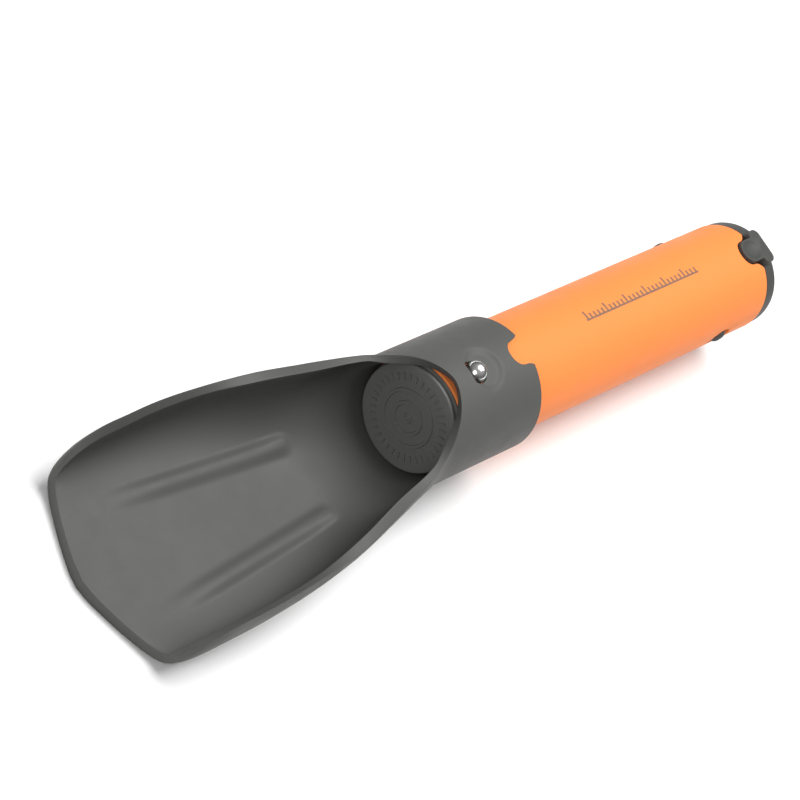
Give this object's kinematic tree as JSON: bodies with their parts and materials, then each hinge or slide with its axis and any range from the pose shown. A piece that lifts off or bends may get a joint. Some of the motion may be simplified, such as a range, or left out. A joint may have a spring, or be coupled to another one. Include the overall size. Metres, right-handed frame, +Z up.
{
  "type": "camp shovel",
  "caption": "Pocket camp trowel: a grey nylon scoop and sleeve with a hollow orange handle that slides in it, a sprung steel lock pin and a latched end cap.",
  "frame": {"origin": "bottom centre of the whole shovel's box at rest, level with the blade's sole", "axes": "+X along the handle towards the end cap, +Z up out of the scoop, +Y to the left of someone who looks from the blade's tip towards the handle"},
  "size_m": [0.2802, 0.0632, 0.043],
  "materials": {
    "blade_nylon": "satin moulded",
    "handle_orange": "satin moulded",
    "plug_plastic": "satin moulded",
    "pin_steel": "polished",
    "spring_steel": "rolled strip",
    "cap_nylon": "satin moulded"
  },
  "bodies": {
    "blade": {"trowel_blade": "blade_nylon"},
    "handle": {"handle_tube": "handle_orange", "front_plug": "plug_plastic", "lock_spring": "spring_steel"},
    "lock_button": {"lock_pin": "pin_steel"},
    "cap": {"end_cap": "cap_nylon"},
    "latch_left": {"cap_latch_left": "cap_nylon"},
    "latch_right": {"cap_latch_right": "cap_nylon"}
  },
  "joints": [
    {"name": "handle_slide", "type": "slide", "parent": "blade", "child": "handle", "axis": [1, 0, 0], "range_m": [-0.121, 0]},
    {"name": "lock_press", "type": "slide", "parent": "handle", "child": "lock_button", "axis": [0, 0, -1], "range_m": [0, 0.0047], "stiffness_N_per_m": 1500, "deforming": ["lock_spring"]},
    {"name": "cap_pull", "type": "slide", "parent": "handle", "child": "cap", "axis": [1, 0, 0], "range_m": [0, 0.15]},
    {"name": "latch_left_press", "type": "hinge", "parent": "cap", "child": "latch_left", "pos_m": [0.12476, 0.0135, 0.022], "axis": [0, 0, 1], "range_deg": [0, 18], "stiffness_Nm_per_rad": 0.3},
    {"name": "latch_right_press", "type": "hinge", "parent": "cap", "child": "latch_right", "pos_m": [0.12476, -0.0135, 0.022], "axis": [0, 0, -1], "range_deg": [0, 18], "stiffness_Nm_per_rad": 0.3}
  ]
}
